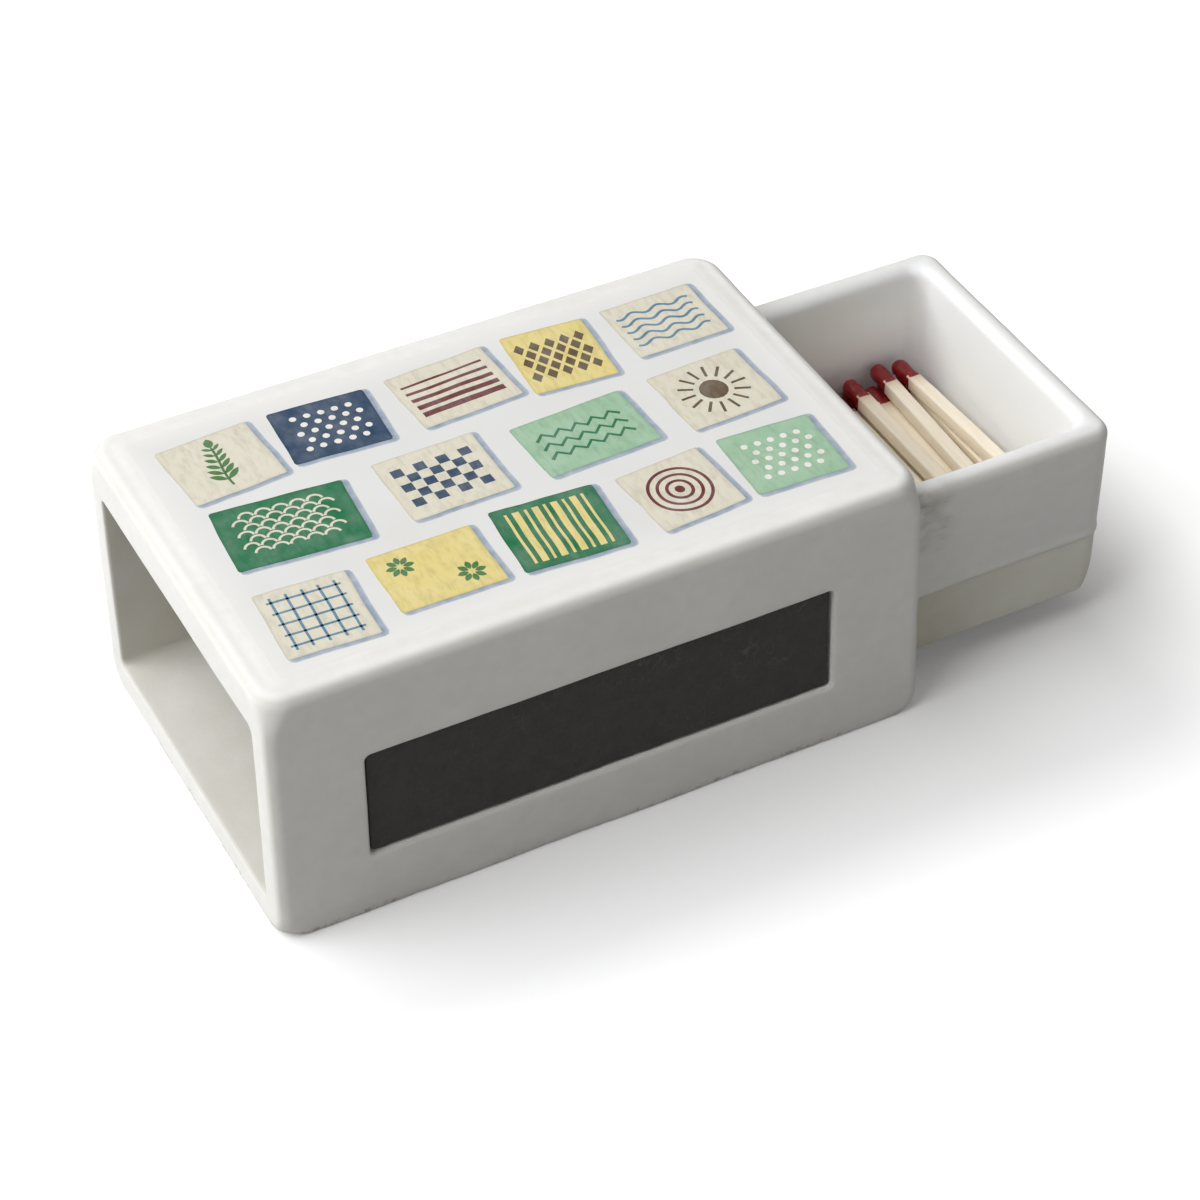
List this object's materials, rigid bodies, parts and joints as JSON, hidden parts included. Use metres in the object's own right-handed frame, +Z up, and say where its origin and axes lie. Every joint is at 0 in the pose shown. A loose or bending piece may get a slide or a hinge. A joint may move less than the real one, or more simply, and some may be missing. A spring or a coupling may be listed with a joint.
{
  "type": "matchbox holder",
  "caption": "White glazed ceramic matchbox holder: an open-ended sleeve with a striking strip in one side and a tray that slides through it and holds loose matches.",
  "frame": {"origin": "centre of the sleeve's flat base, on the surface that it stands on", "axes": "+X along the sleeve, towards the drawn end of the tray; -Y out of the striking side; +Z up"},
  "size_m": [0.149, 0.0688, 0.0476],
  "materials": {
    "white_glaze": "satin glaze",
    "striking_compound": "rough, matt",
    "printed_film": "thin fired-on film, satin",
    "match_wood": "bare, dry",
    "match_head": "matt, grainy"
  },
  "bodies": {
    "sleeve": {"sleeve": "white_glaze", "striker_strip": "striking_compound", "printed_transfer": "printed_film"},
    "tray": {"tray": "white_glaze", "match_sticks_row_1": "match_wood", "match_sticks_row_2": "match_wood", "match_sticks_row_3": "match_wood", "match_stick_06": "match_wood", "match_stick_07": "match_wood", "match_stick_08": "match_wood", "match_stick_09": "match_wood", "match_stick_10": "match_wood", "match_stick_11": "match_wood", "match_stick_12": "match_wood", "match_stick_13": "match_wood", "match_stick_14": "match_wood", "match_stick_15": "match_wood", "match_stick_16": "match_wood", "match_stick_17": "match_wood", "match_stick_18": "match_wood", "match_heads_row_1": "match_head", "match_heads_row_2": "match_head", "match_heads_row_3": "match_head", "match_head_06": "match_head", "match_head_07": "match_head", "match_head_08": "match_head", "match_head_09": "match_head", "match_head_10": "match_head", "match_head_11": "match_head", "match_head_12": "match_head", "match_head_13": "match_head", "match_head_14": "match_head", "match_head_15": "match_head", "match_head_16": "match_head", "match_head_17": "match_head", "match_head_18": "match_head"},
    "match_01": {"match_stick_01": "match_wood", "match_head_01": "match_head"},
    "match_02": {"match_stick_02": "match_wood", "match_head_02": "match_head"},
    "match_03": {"match_stick_03": "match_wood", "match_head_03": "match_head"},
    "match_04": {"match_stick_04": "match_wood", "match_head_04": "match_head"},
    "match_05": {"match_stick_05": "match_wood", "match_head_05": "match_head"}
  },
  "joints": [
    {"name": "tray_slide", "type": "slide", "parent": "sleeve", "child": "tray", "axis": [1, 0, 0], "range_m": [-0.154, 0.076]},
    {"name": "match_01_lift", "type": "slide", "parent": "tray", "child": "match_01", "axis": [0, 0, 1], "range_m": [0, 0.04]},
    {"name": "match_02_lift", "type": "slide", "parent": "tray", "child": "match_02", "axis": [0, 0, 1], "range_m": [0, 0.04]},
    {"name": "match_03_lift", "type": "slide", "parent": "tray", "child": "match_03", "axis": [0, 0, 1], "range_m": [0, 0.04]},
    {"name": "match_04_lift", "type": "slide", "parent": "tray", "child": "match_04", "axis": [0, 0, 1], "range_m": [0, 0.04]},
    {"name": "match_05_lift", "type": "slide", "parent": "tray", "child": "match_05", "axis": [0, 0, 1], "range_m": [0, 0.04]}
  ]
}
